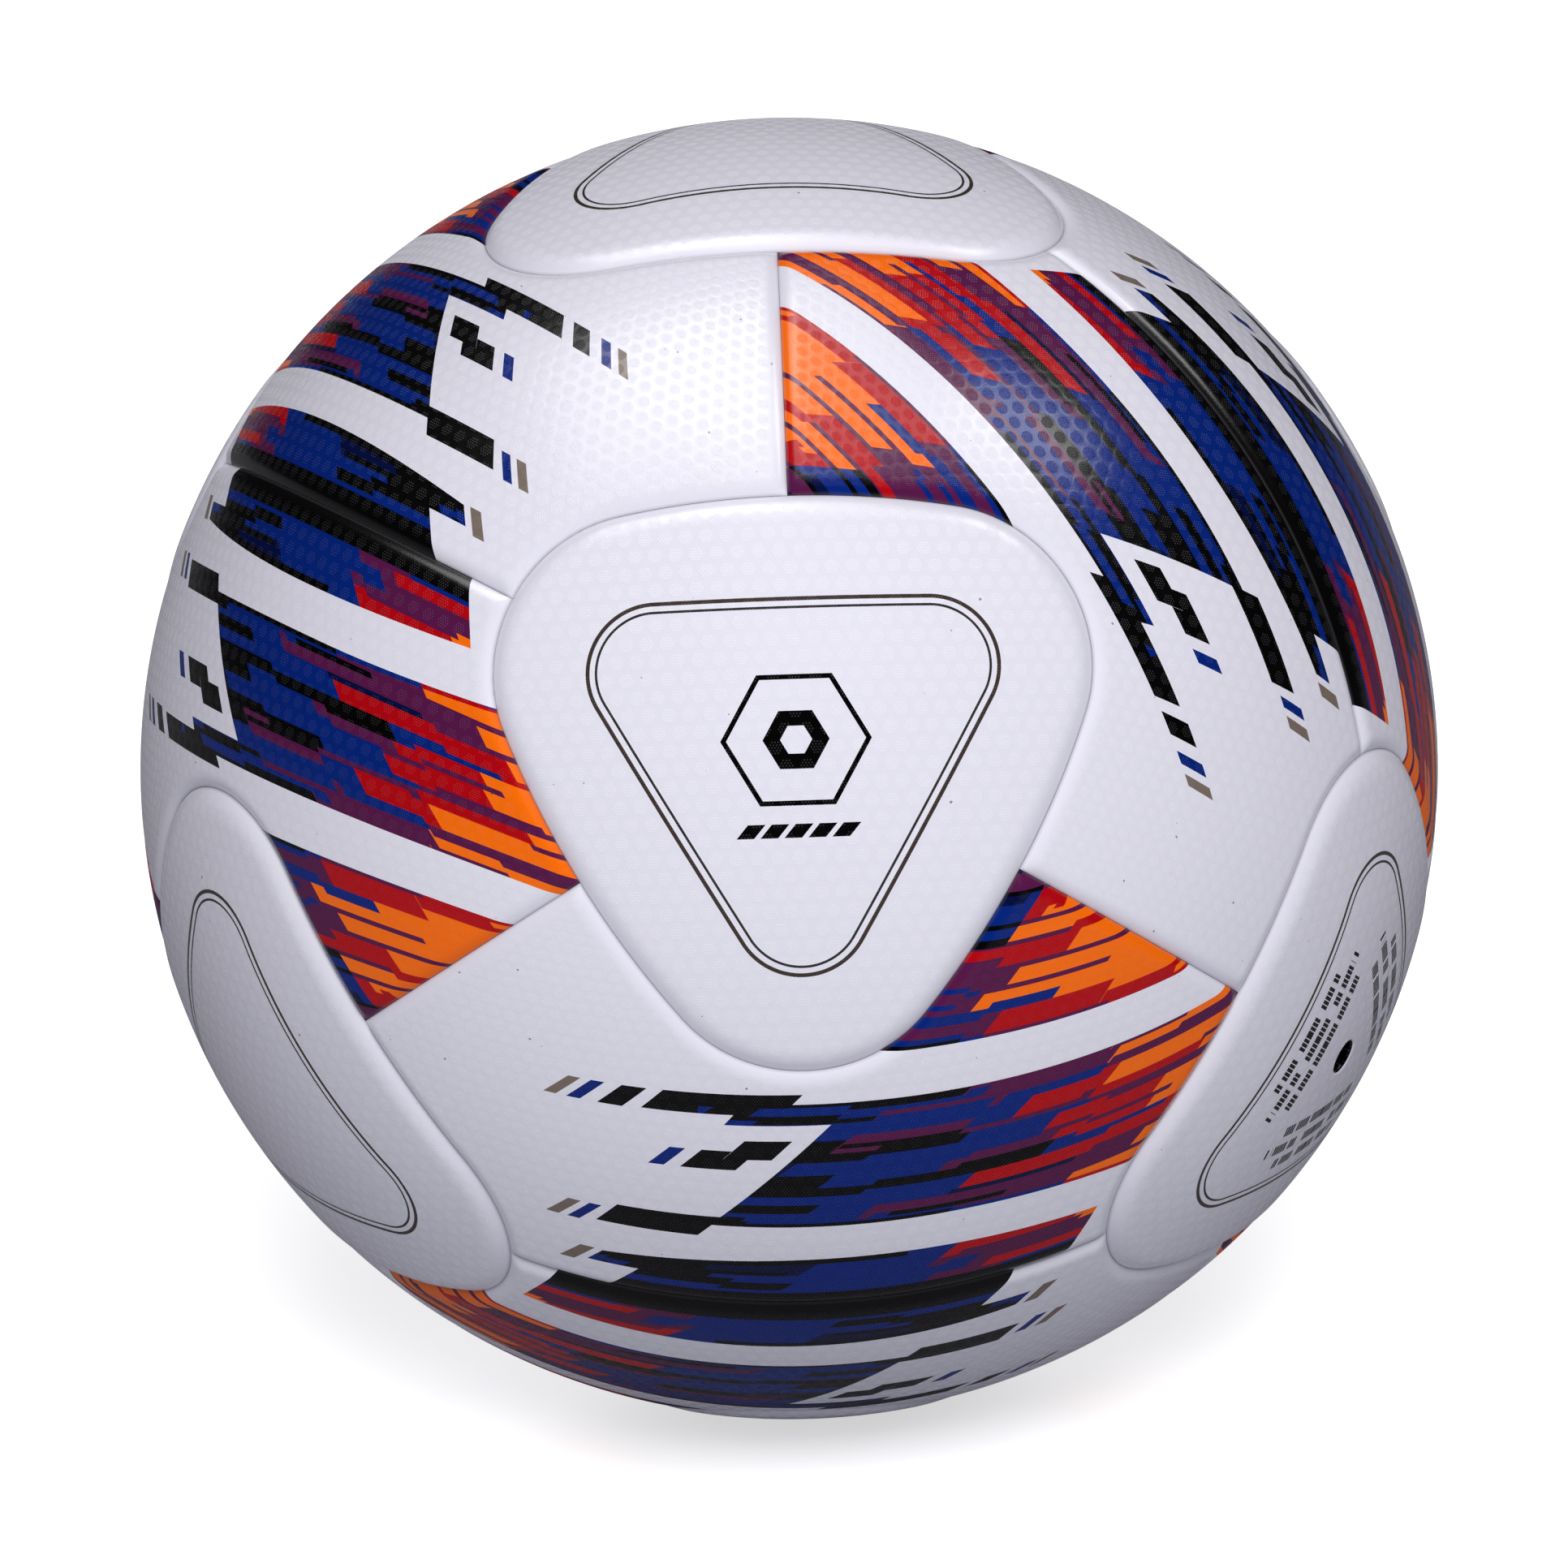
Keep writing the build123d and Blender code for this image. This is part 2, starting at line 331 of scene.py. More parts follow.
def wing_shape():
    """A wing in its own frame: points, faces, and places (along, up, distance to a seam)."""
    azimuth = wing_azimuths()
    near = triangle_outline(azimuth) + SEAM_HALF_GAP / BALL_R
    far = np.minimum(long_seam_angle(azimuth), end_triangle_angle(azimuth))
    far = far - SEAM_HALF_GAP / BALL_R
    share = spread(BALL_R * float(np.mean(far - near)))
    share = share / share[-1]
    angle = near + share[:, None] * (far - near)
    direction = on_sphere(angle, azimuth)
    flat = direction.reshape(-1, 3)

    outlines = [distance_to_curve(flat, outline_points(corner)) for corner in OWN_CORNERS]
    seams = [
        distance_to_plane(flat, FACE_UP),
        distance_to_plane(flat, unit(np.cross(WHITE_CORNER, RIGHT_CORNER)) * -1),
        distance_to_plane(flat, unit(np.cross(RIGHT_CORNER, ORANGE_CORNER)) * -1),
    ]
    level = np.prod([1 - fold_drop(d, WING_FOLD) for d in outlines + seams], axis=0)
    height = (WING_RISE + SEAM_DEPTH) * level - SEAM_DEPTH
    outer = (flat * (BALL_R + height)[:, None]).reshape(direction.shape)
    points, faces = closed_skin(outer, direction * SKIN_INSIDE, loops=False, capped=False)

    ahead = flat @ FACE_MIDDLE
    along = (flat @ FACE_RIGHT) / ahead
    up = (flat @ FACE_UP) / ahead / (1 + BAND_BEND * along**2)
    edge = np.min(outlines + seams, axis=0)
    places = np.stack([np.arctan(along) * BALL_R, up * BALL_R, edge], -1)
    return points, faces, np.concatenate([places, places])


def triangle_shape(hole_r):
    """A triangle about +Z, first tip over -Y: points, faces, and places (right, up, edge)."""
    azimuth = np.linspace(0, 2 * math.pi, TRIANGLE_COLUMNS, endpoint=False)
    outline = triangle_outline(azimuth) - SEAM_HALF_GAP / BALL_R
    start = (hole_r or TRIANGLE_CAP_R) / BALL_R
    share = spread(BALL_R * float(np.mean(outline - start)))
    share = share / share[-1]
    angle = start + share[:, None] * (outline - start)
    direction = on_sphere(angle, azimuth - math.pi / 2)
    flat = direction.reshape(-1, 3)

    around = np.linspace(0, 2 * math.pi, OUTLINE_COUNT)
    edge = distance_to_curve(flat, on_sphere(triangle_outline(around), around - math.pi / 2))
    height = TRIANGLE_RISE - (TRIANGLE_RISE + SEAM_DEPTH) * fold_drop(edge, TRIANGLE_FOLD)
    if hole_r:
        from_hole = np.clip(1 - (angle.ravel() * BALL_R - hole_r) / VALVE_LIP, 0, 1)
        height = height - VALVE_LIP * (1 - np.sqrt(1 - from_hole**2))
    outer = (flat * (BALL_R + height)[:, None]).reshape(direction.shape)
    points, faces = closed_skin(outer, direction * SKIN_INSIDE, loops=True, capped=not hole_r)

    reach = BALL_R * angle.ravel() / np.maximum(np.sin(angle.ravel()), 1e-6)
    places = np.stack([flat[:, 0] * reach, flat[:, 1] * reach, edge], -1)
    places = np.concatenate([places, places])
    if not hole_r:
        middle = np.array([[0.0, 0.0, edge[0]]] * 2)
        places = np.concatenate([places, middle])
    return points, faces, places


# ---------------------------------------------------------------- shader arithmetic


class Field:
    """A number that a material's nodes work out. Python's operators add the nodes."""

    def __init__(self, tree, socket):
        self.tree = tree
        self.socket = socket

    def math(self, operation, *others):
        node = self.tree.nodes.new("ShaderNodeMath")
        node.operation = operation
        for place, value in zip(node.inputs, (self, *others)):
            feed(self.tree, place, value)
        return Field(self.tree, node.outputs[0])

    def __add__(self, other):
        return self.math("ADD", other)

    def __sub__(self, other):
        return self.math("SUBTRACT", other)

    def __mul__(self, other):
        return self.math("MULTIPLY", other)

    def __truediv__(self, other):
        return self.math("DIVIDE", other)

    def __gt__(self, other):
        return self.math("GREATER_THAN", other)

    def __lt__(self, other):
        return self.math("LESS_THAN", other)

    def __abs__(self):
        return self.math("ABSOLUTE")

    def __floor__(self):
        return self.math("FLOOR")

    def wrapped(self, half):
        return self.math("WRAP", half, -half)

    def either(self, other):
        return self.math("MAXIMUM", other)

    def inverse(self):
        return self * -1.0 + 1.0

    def inside(self, low, high):
        return (self > low) * (self < high)

    def chosen(self, when_one, when_zero):
        """when_one where this field is 1, when_zero where it is 0."""
        node = self.tree.nodes.new("ShaderNodeMix")
        feed(self.tree, node.inputs["Factor"], self)
        feed(self.tree, node.inputs["A"], when_zero)
        feed(self.tree, node.inputs["B"], when_one)
        return Field(self.tree, node.outputs["Result"])

    def smooth(self, at_zero, at_one):
        """A soft step from 0 to 1 between two values of this field."""
        node = self.tree.nodes.new("ShaderNodeMapRange")
        node.interpolation_type = "SMOOTHSTEP"
        feed(self.tree, node.inputs["Value"], self)
        node.inputs["From Min"].default_value = at_zero
        node.inputs["From Max"].default_value = at_one
        return Field(self.tree, node.outputs["Result"])


def feed(tree, place, value):
    if isinstance(value, Field):
        tree.links.new(value.socket, place)
    elif isinstance(value, bpy.types.NodeSocket):
        tree.links.new(value, place)
    else:
        place.default_value = value


def vector_of(x, y, z):
    node = x.tree.nodes.new("ShaderNodeCombineXYZ")
    for place, value in zip(node.inputs, (x, y, z)):
        feed(x.tree, place, value)
    return node.outputs[0]


def parts_of(tree, socket):
    node = tree.nodes.new("ShaderNodeSeparateXYZ")
    tree.links.new(socket, node.inputs[0])
    return [Field(tree, out) for out in node.outputs]


def chances(x, y, seed):
    """Three random numbers from 0 to 1 for each pair of whole numbers."""
    node = x.tree.nodes.new("ShaderNodeTexWhiteNoise")
    x.tree.links.new(vector_of(x, y, float(seed)), node.inputs["Vector"])
    return parts_of(x.tree, node.outputs["Color"])


def noise(tree, vector, scale, detail=2.0):
    node = tree.nodes.new("ShaderNodeTexNoise")
    tree.links.new(vector, node.inputs["Vector"])
    node.inputs["Scale"].default_value = scale
    node.inputs["Detail"].default_value = detail
    return Field(tree, node.outputs[0])


def paint(red, green, blue):
    """A colour given as 0 to 255 on a screen, as the shader's linear values."""
    return tuple((c / 255 / 12.92) if c < 10.3 else ((c / 255 + 0.055) / 1.055) ** 2.4
                 for c in (red, green, blue)) + (1.0,)


def mixed(tree, share, under, over):
    node = tree.nodes.new("ShaderNodeMix")
    node.data_type = "RGBA"
    feed(tree, node.inputs["Factor"], share)
    feed(tree, node.inputs["A"], under)
    feed(tree, node.inputs["B"], over)
    return node.outputs["Result"]


def stepped(field, first, steps):
    """Colour by the value of a field, with hard steps: steps are (from value, colour)."""
    low, high = steps[0][0] - 1.0, steps[-1][0] + 1.0
    node = field.tree.nodes.new("ShaderNodeValToRGB")
    ramp = node.color_ramp
    ramp.interpolation = "CONSTANT"
    ramp.elements[0].color = first
    ramp.elements.remove(ramp.elements[1])
    for value, colour in steps:
        ramp.elements.new((value - low) / (high - low)).color = colour
    feed(field.tree, node.inputs[0], (field - low) / (high - low))
    return node.outputs["Color"]


# ---------------------------------------------------------------- colours of the print

WHITE = paint(234, 232, 244)
GREY = paint(124, 110, 100)
BLACK = paint(5, 4, 5)
NAVY = paint(2, 14, 62)
BLUE = paint(0, 36, 122)
PURPLE = paint(88, 22, 72)
RED = paint(180, 0, 12)
ORANGE = paint(255, 112, 0)

# ---------------------------------------------------------------- pressed texture

CLUSTER_PITCH = 3.35               # the skin is pressed with six-sided clusters of 19 dots
CLUSTER_EDGE = (1.22, 1.08)        # a cluster fades in between these distances from its middle
PAD_EDGE = (1.65, 0.75)            # the same for the low pad under it
DOT_PITCH = 0.50
DOT_EDGE = (0.17, 0.07)            # and for each dot
BARE_EDGE = (1.0, 3.2)             # it all fades in between these distances from a seam
BUMP_HEIGHT = 0.07                 # the next three are shares of this
PAD_HEIGHT = 0.30
DOT_DEPTH = 0.3
GRAIN_HEIGHT = 0.25

INK_BELOW = 0.6                    # lightness under which the skin counts as inked
# painted glints: colours and shares that lighten the dots, on the ink and on the white skin
INKED_DOT_GLINT = paint(205, 205, 220)
INKED_DOT_GLINT_SHARE = 0.04
WHITE_DOT_GLINT = paint(255, 255, 255)
WHITE_DOT_GLINT_SHARE = 0.35
# painted shade: the colour, share and width of the darkening along each seam
SEAM_SHADE = paint(96, 92, 98)
SEAM_SHADE_SHARE = 0.30
SEAM_SHADE_WIDTH = 0.55                  # from a seam
SPECK = paint(60, 56, 54)
SPECK_SHARE = 0.7
SPECK_FROM = 0.885                 # a higher value makes the specks fewer and smaller


def nearest_in_lattice(x, y, pitch):
    """Offset from the nearest point of a lattice of equal triangles."""
    half, tall = pitch / 2, pitch * math.sqrt(0.75)
    ax, ay = x.wrapped(half), y.wrapped(tall)
    bx, by = (x - half).wrapped(half), (y - tall).wrapped(tall)
    near_a = (ax * ax + ay * ay) < (bx * bx + by * by)
    return near_a.chosen(ax, bx), near_a.chosen(ay, by)


def pressed_dots(x, y, edge):
    """Three fields from 0 to 1: domed pads, the clusters on them, and the dots in those."""
    cx, cy = nearest_in_lattice(x, y, CLUSTER_PITCH)
    dx, dy = nearest_in_lattice(cx, cy, DOT_PITCH)
    from_cluster = (cx * cx + cy * cy).math("SQRT")
    from_dot = (dx * dx + dy * dy).math("SQRT")
    kept = edge.smooth(*BARE_EDGE)
    pad = from_cluster.smooth(*PAD_EDGE) * kept
    cluster = from_cluster.smooth(*CLUSTER_EDGE) * kept
    return pad, cluster, from_dot.smooth(*DOT_EDGE) * cluster


def skin_surface(material, x, y, edge, colour):
    """The pressed, glossy polyurethane and the print on it.

    The dots are lightened with a painted glint and spread the shine wider. A few specks of dirt lie
    on it, and painted shade darkens the seams.
    """
    tree = material.node_tree
    pad, cluster, dot = pressed_dots(x, y, edge)
    lightness = tree.nodes.new("ShaderNodeRGBToBW")
    feed(tree, lightness.inputs[0], colour)
    inked = Field(tree, lightness.outputs[0]) < INK_BELOW
    flat = vector_of(x, y, 0.0)
    grain = noise(tree, flat, 2.6, 3.0)
    blotch = noise(tree, flat, 0.05, 2.0)
    speck = noise(tree, flat, 0.8, 0.0) > SPECK_FROM

    # painted glint: the dots are lightened in the base colour, a little on the ink and more on the
    # white
    colour = mixed(tree, dot * inked * INKED_DOT_GLINT_SHARE, colour, INKED_DOT_GLINT)
    colour = mixed(tree, dot * inked.inverse() * WHITE_DOT_GLINT_SHARE, colour, WHITE_DOT_GLINT)
    # painted shade: the skin is darkened in a narrow band along each seam
    colour = mixed(tree, edge.smooth(SEAM_SHADE_WIDTH, 0.0) * SEAM_SHADE_SHARE, colour, SEAM_SHADE)
    colour = mixed(tree, speck * SPECK_SHARE, colour, SPECK)
    shader = tree.nodes["Principled BSDF"]
    feed(tree, shader.inputs["Base Color"], colour)
    feed(tree, shader.inputs["Roughness"], dot * 0.24 + blotch * 0.06 + 0.21)
    feed(tree, shader.inputs["Specular IOR Level"], dot * 0.45 - cluster * 0.24 + 0.50)

    bump = tree.nodes.new("ShaderNodeBump")
    bump.inputs["Distance"].default_value = BUMP_HEIGHT * MM
    height = pad * PAD_HEIGHT - dot * DOT_DEPTH + grain * GRAIN_HEIGHT
    feed(tree, bump.inputs["Height"], height)
    tree.links.new(bump.outputs["Normal"], shader.inputs["Normal"])


def new_material(name):
    material = bpy.data.materials.new(name)
    material.use_nodes = True
    return material


def panel_place(material):
    tree = material.node_tree
    node = tree.nodes.new("ShaderNodeAttribute")
    node.attribute_name = "panel"
    return parts_of(tree, node.outputs["Vector"])


# ---------------------------------------------------------------- print of the wings

SLANT = 0.85                       # how far a dash's end leans to the right as it rises
BAR_SLANT = 1.15                   # the same for a bar of the streaked print
ROW = 0.95                         # the print is made of rows this high
STEP_ROWS = 8                      # so many rows step up or down together
STEP_LENGTH = 21.0                 # and so much of their length
BROAD_LENGTH = 21.0                # mean length of a broad bar
LINE_LENGTH = 25.0                 # and of a line on it
OVER_LENGTH = 20.0                 # and of a bar that lies over both

# The ink of a bar or line is that of the last of these values that its own value reaches, or else
# BLACK. Its value is its place along the panel, which chance moves over a spread.
ZONES = [(-20, NAVY), (-14, BLUE), (12, PURPLE), (34, RED), (51, ORANGE)]
BROAD_SPREAD = 29.0
LINE_SPREAD = 36.0
OVER_SPREAD = 50.0
NO_LINE = 0.22                     # chance that a broad bar has no line
THIN_LINE = 0.4                    # chance that a line is one row high instead of two
THIN_VALUES = (6.0, 24.0)          # a line with a value between these is always one row high
NO_OVER = 0.92                     # chance that nothing lies over them

BAND_A_SQUEEZE = 0.8               # less than 1 makes the bars of band A higher
BAND_A_FROM = 58.6                 # the three printed bands, by distance from the long seam
BAND_B = (20.6, 48.2)
BAND_C_TO = 12.8
BAND_EDGE = 0.8                    # height of the darker line along an edge of band A or B

# Rows of short slanted dashes that lead into the bands from the white end: the level of a row's
# middle, half its height, and the ink from each place along it.
DASH_ROWS = [
    (47.9, 2.4, [(-44.6, GREY), (-42.3, WHITE), (-40.4, BLUE), (-37.9, WHITE),
                 (-34.8, BLACK), (-30.3, WHITE)]),
    (35.6, 2.1, [(-25.4, BLUE), (-22.7, WHITE), (-19.9, BLACK), (-10.5, WHITE)]),
    (38.0, 2.1, [(-12.6, BLACK), (-4.4, WHITE)]),
    (19.4, 2.2, [(-42.3, GREY), (-40.1, WHITE), (-38.6, BLUE), (-36.5, WHITE)]),
    (8.4, 2.1, [(-39.9, GREY), (-37.4, WHITE)]),
]


def leaning(u, v, level, slant=SLANT):
    """Place along the panel at a level, followed along a slanted end."""
    return u - (v - level) * slant


def stepped_rows(u, v):
    """The row of the print, with steps of one or two rows, so that the bars jog up and down."""
    part = math.floor(v / (ROW * STEP_ROWS))
    place = math.floor(leaning(u, v, 0.0, BAR_SLANT) / STEP_LENGTH + part * 0.37)
    return math.floor(v / ROW + math.floor(chances(place, part, 3)[0] * 3.0))


def bars(u, v, row, rows, length, seed):
    """The slanted bar that a place lies in, some rows high.

    Gives the bar's middle along the panel, three random numbers for it, and the row within it.
    """
    number = math.floor((row + float(seed)) / rows)
    start, longer, _ = chances(number, number, seed)
    own_length = (longer * 0.5 + 0.75) * length
    place = math.floor(leaning(u, v, 0.0, BAR_SLANT) / own_length + start)
    level = (number * rows + (rows / 2 - seed)) * ROW
    middle = (place - start + 0.5) * own_length + level * BAR_SLANT
    return middle, chances(place, number, seed + 10), (row + float(seed)).math("MODULO", rows)


def streaks(u, v, offset):
    """The value in ZONES of the bar or line that a place lies in, with an offset added.

    Every four rows hold a broad bar, most often with a darker line of one or two rows along its
    lower side, and here and there a bar of two rows lies over both.
    """
    row = stepped_rows(u, v)
    broad, broad_chance, level = bars(u, v, row, 4.0, BROAD_LENGTH, 1)
    over, over_chance, _ = bars(u, v, row, 2.0, OVER_LENGTH, 3)
    line, line_chance, _ = bars(u, v, row, 4.0, LINE_LENGTH, 1)
    broad_value = broad.either(-6.0) + offset + (broad_chance[0] - 0.5) * BROAD_SPREAD
    line_value = line + offset - 14.0 - line_chance[0] * LINE_SPREAD
    over_value = over + offset + (over_chance[0] - 0.75) * OVER_SPREAD
    thick = (line_chance[1] > THIN_LINE) * line_value.inside(*THIN_VALUES).inverse()
    lined = (level < thick + 0.5) * (line_chance[2] > NO_LINE)
    value = lined.chosen(line_value, broad_value)
    return (over_chance[1] > NO_OVER).chosen(over_value, value)


def band_a(u, v):
    """The band beside the right-angle triangle: its mask, and the offset of its ZONES value."""
    mask = (v > BAND_A_FROM) * (u > 5.0)
    line = v < BAND_A_FROM + BAND_EDGE
    cold_tip = (v > 80.0) * (leaning(u, v, 82.0) < 42.0)
    return mask, line * -22.0 - cold_tip * 44.0 + 4.0


def band_b(u, v):
    """The middle band, whose left end is a white notch between a long bar above and below."""
    low, high = BAND_B
    bar_above, notch_top, notch_foot = 45.8, 43.5, 22.6
    above = (v > bar_above) * (leaning(u, v, bar_above, 0.8) > -29.0)
    shelf = v.inside(notch_top, bar_above) * (leaning(u, v, notch_top, 0.7) > -14.4)
    notch = v.inside(notch_foot, notch_top) * (leaning(u, v, notch_top, 0.9) > 4.1)
    below = (v < notch_foot) * (leaning(u, v, 17.5, 0.75) > -35.8)
    top_bar = leaning(u, v, 50.0) < -1.0
    foot_bar = leaning(u, v, 19.0) < -17.5
    past = (u - 20.0).either(0.0)
    foot = past * past * -0.0014 + low
    top = v < top_bar.chosen(50.4, high)
    bottom = v > foot_bar.chosen(17.9, foot)
    mask = above.either(shelf).either(notch).either(below) * top * bottom
    black_above = (top_bar * (v > 47.4)).either((v > bar_above) * (u < -19.0))
    black = black_above.either((v < 22.4) * (u < -14.0))
    line = v < foot + BAND_EDGE
    return mask, line * -16.0 - black * 70.0 - 10.0


def band_c(u, v):
    """The band along the long seam, pointed at its right end."""
    edge = (u - 10.0) * (u - 10.0) * -0.0013 + BAND_C_TO
    left = (v > 7.2).chosen(leaning(u, v, 11.1) > -33.6, leaning(u, v, 7.3, 0.83) > -28.2)
    mask = left * (leaning(u, v, 0.0, 0.6) < 42.4) * (v < edge)
    seam_black = (v < 4.0) * 75.0
    line = (v > edge - 1.2) * (u < 16.0)
    return mask, line * -22.0 - seam_black - 5.0


def dash_rows(tree, u, v, colour):
    """The colour, with the rows of dashes drawn over it."""
    for level, half_height, dashes in DASH_ROWS:
        place = leaning(u, v, level)
        drawn = stepped(place, WHITE, dashes)
        reached = place.inside(dashes[0][0], dashes[-1][0]) * (abs(v - level) < half_height)
        colour = mixed(tree, reached, colour, drawn)
    return colour


def wing_material():
    material = new_material("printed_skin")
    tree = material.node_tree
    u, v, edge = panel_place(material)
    colour = dash_rows(tree, u, v, WHITE)
    mask_a, offset_a = band_a(u, v)
    mask_b, offset_b = band_b(u, v)
    mask_c, offset_c = band_c(u, v)
    offset = mask_a.chosen(offset_a, mask_b.chosen(offset_b, offset_c))
    printed = mask_a.either(mask_b).either(mask_c)
    stretched = mask_a.chosen(v * BAND_A_SQUEEZE, v)
    ink = stepped(streaks(u, stretched, offset), BLACK, ZONES)
    colour = mixed(tree, printed, colour, ink)
    skin_surface(material, u, v, edge, colour)
    return material


# ---------------------------------------------------------------- marks on the triangles

LINE_SIDE = 23.8                   # from the middle to the straight side of the drawn line
LINE_ROUND = 11.0                  # radius of its corners
LINE_HALF_WIDTH = 0.33
INNER_LINE_IN = 1.40               # how far inside it the second line is
INNER_LINE_HALF_WIDTH = 0.21
OUTER_LINE_INK = paint(64, 54, 47)
INNER_LINE_INK = paint(50, 46, 46)

BADGE_UP = 1.2                     # the badge's middle, above the triangle's
BADGE_RING = (9.6, 10.4)           # its six-sided ring and nut, from the middle to a side
BADGE_NUT = (2.2, 4.6)
BADGE_BARS_UP = -13.2              # the row of bars under it
BADGE_BAR_PITCH = 3.8

# Rows of fine bars round the valve: how far each is from it, and half its length.
FINE_ROWS = [(11.0, 12.5), (14.8, 16.0), (18.4, 11.0)]
FINE_HALF_HEIGHT = 1.05
FINE_PITCH = 0.8                   # of the bars, which fill this share of it
FINE_SHARE = 0.80
GROUP_PITCH = 4.7                  # of their groups, which fill this share of it
GROUP_SHARE = 0.85
FINE_LEFT_OUT = 0.08               # chance that a bar is left out


def from_sides(x, y):
    """Distance from a triangle's middle, and the angle from the nearest side's middle."""
    reach = (x * x + y * y).math("SQRT")
    azimuth = x.math("ARCTAN2", y * -1.0)
    folded = abs(azimuth.wrapped(math.pi / 3))
    return reach, folded * -1.0 + math.pi / 3


def line_distance(x, y):
    """Distance outward from the rounded triangle that is drawn on each triangular panel."""
    reach, across = from_sides(x, y)
    beyond = reach * across.math("COSINE") - (LINE_SIDE - LINE_ROUND)
    along = reach * across.math("SINE") - (LINE_SIDE - LINE_ROUND) * math.sqrt(3)
    past_side, past_corner = beyond.either(0.0), along.either(0.0)
    return (past_corner * past_corner + past_side * past_side).math("SQRT") - LINE_ROUND


def double_line(x, y):
    """Masks of the broad outer line and the fine inner one."""
    distance = line_distance(x, y)
    inner = abs(distance + INNER_LINE_IN) < INNER_LINE_HALF_WIDTH
    return abs(distance) < LINE_HALF_WIDTH, inner


def badge_marks(x, y):
    """A plain six-sided badge over a row of short bars."""
    across, up = abs(x), abs(y - BADGE_UP)
    hexagon = (across * math.sqrt(0.75) + up * 0.5).either(up)
    slanted = leaning(x, y, BADGE_BARS_UP) - 0.5
    half_pitch = BADGE_BAR_PITCH / 2
    row = (abs(y - BADGE_BARS_UP) < 1.1) * (abs(slanted) < 5 * half_pitch)
    row = row * (slanted.wrapped(half_pitch) < half_pitch - 1.0)
    return hexagon.inside(*BADGE_RING).either(hexagon.inside(*BADGE_NUT)).either(row)


def valve_marks(x, y):
    """The dark mouth of the valve, and rows of fine bars along the three sides."""
    reach, across = from_sides(x, y)
    outward = reach * across.math("COSINE")
    along = reach * across.math("SINE")
    bar, group = along / FINE_PITCH, along / GROUP_PITCH
    drawn = (bar.math("FRACT") < FINE_SHARE) * (group.math("FRACT") < GROUP_SHARE)
    marks = reach < VALVE_HOLE_R + 0.25
    for row, (middle, half_length) in enumerate(FINE_ROWS):
        kept = chances(math.floor(bar), math.floor(group), 20 + row)[0] > FINE_LEFT_OUT
        inside = (abs(outward - middle) < FINE_HALF_HEIGHT) * (along < half_length)
        marks = marks.either(drawn * kept * inside)
    return marks


def triangle_material(name, marks):
    material = new_material(name)
    tree = material.node_tree
    x, y, edge = panel_place(material)
    outer, inner = double_line(x, y)
    colour = mixed(tree, outer, WHITE, OUTER_LINE_INK)
    colour = mixed(tree, inner, colour, INNER_LINE_INK)
    if marks:
        colour = mixed(tree, marks(x, y), colour, BLACK)
    skin_surface(material, x, y, edge, colour)
    return material


# ---------------------------------------------------------------- materials of the inner layers

# Light and dark colour, scale of the grain, roughness, and height of the bump.
INNER_LOOKS = {
    "foam": (paint(232, 230, 222), paint(206, 203, 194), 1400.0, 0.85, 0.1),
    "carcass": (paint(226, 222, 208), paint(196, 190, 172), 900.0, 0.85, 0.05),
    "bladder": (paint(34, 33, 34), paint(20, 19, 20), 500.0, 0.6, 0.05),
    "valve_rubber": (paint(40, 39, 40), paint(24, 23, 24), 1200.0, 0.55, 0.03),
    "valve_plug": (paint(28, 27, 29), paint(12, 11, 12), 1500.0, 0.4, 0.02),
}
THREAD_SCALE = 320.0
THREAD_HEIGHT = 0.2


def inner_material(name):
    """A mottled, slightly uneven material whose grain is fixed to the part."""
    light, dark, scale, rough, bump_height = INNER_LOOKS[name]
    material = new_material(name)
    tree = material.node_tree
    place = tree.nodes.new("ShaderNodeTexCoord").outputs["Object"]
    grain = noise(tree, place, scale, 4.0)
    shader = tree.nodes["Principled BSDF"]
    feed(tree, shader.inputs["Base Color"], mixed(tree, grain, dark, light))
    feed(tree, shader.inputs["Roughness"], grain * 0.2 + (rough - 0.1))
    bump = tree.nodes.new("ShaderNodeBump")
    bump.inputs["Distance"].default_value = bump_height * MM
    feed(tree, bump.inputs["Height"], grain)
    tree.links.new(bump.outputs["Normal"], shader.inputs["Normal"])
    return material


def cloth_material():
    """Plain woven cloth: two sets of threads across each other."""
    material = inner_material("carcass")
    tree = material.node_tree
    place = tree.nodes.new("ShaderNodeTexCoord").outputs["Object"]
    heights = []
    for direction in ("X", "Z"):
        threads = tree.nodes.new("ShaderNodeTexWave")
        threads.bands_direction = direction
        threads.inputs["Scale"].default_value = THREAD_SCALE
        tree.links.new(place, threads.inputs["Vector"])
        heights.append(Field(tree, threads.outputs["Fac"]))
    bump = next(node for node in tree.nodes if node.type == "BUMP")
    bump.inputs["Distance"].default_value = THREAD_HEIGHT * MM
    feed(tree, bump.inputs["Height"], heights[0].either(heights[1]))
    return material


def dress_inner_nodes():
    """Gives each CAD node that stays the material of its kind."""
    foam = inner_material("foam")
    rubber = inner_material("valve_rubber")
    by_name = {
        "carcass": cloth_material(),
        "bladder": inner_material("bladder"),
        "valve_patch": rubber,
        "valve_housing": rubber,
        "valve_core": inner_material("valve_plug"),
    }
    for name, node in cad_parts.items():
        if name.endswith("_skin"):
            continue
        material = foam if name.endswith("_foam") else by_name[name]
        node.data.materials.clear()
        node.data.materials.append(material)


# ---------------------------------------------------------------- panels in their places


def matrix_between(from_vectors, to_vectors):
    """The rotation or reflection that takes three directions to three others."""
    return np.column_stack(to_vectors) @ np.linalg.inv(np.column_stack(from_vectors))


def add_wings():
    points, faces, places = wing_shape()
    material = wing_material()
    for name, corners in WINGS.items():
        matrix = matrix_between(OWN_CORNERS, [CORNERS[corner] for corner in corners])
        piece = make_panel(f"skin_{name}", points, faces, places, matrix, material)
        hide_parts(f"wing_{name}_skin")


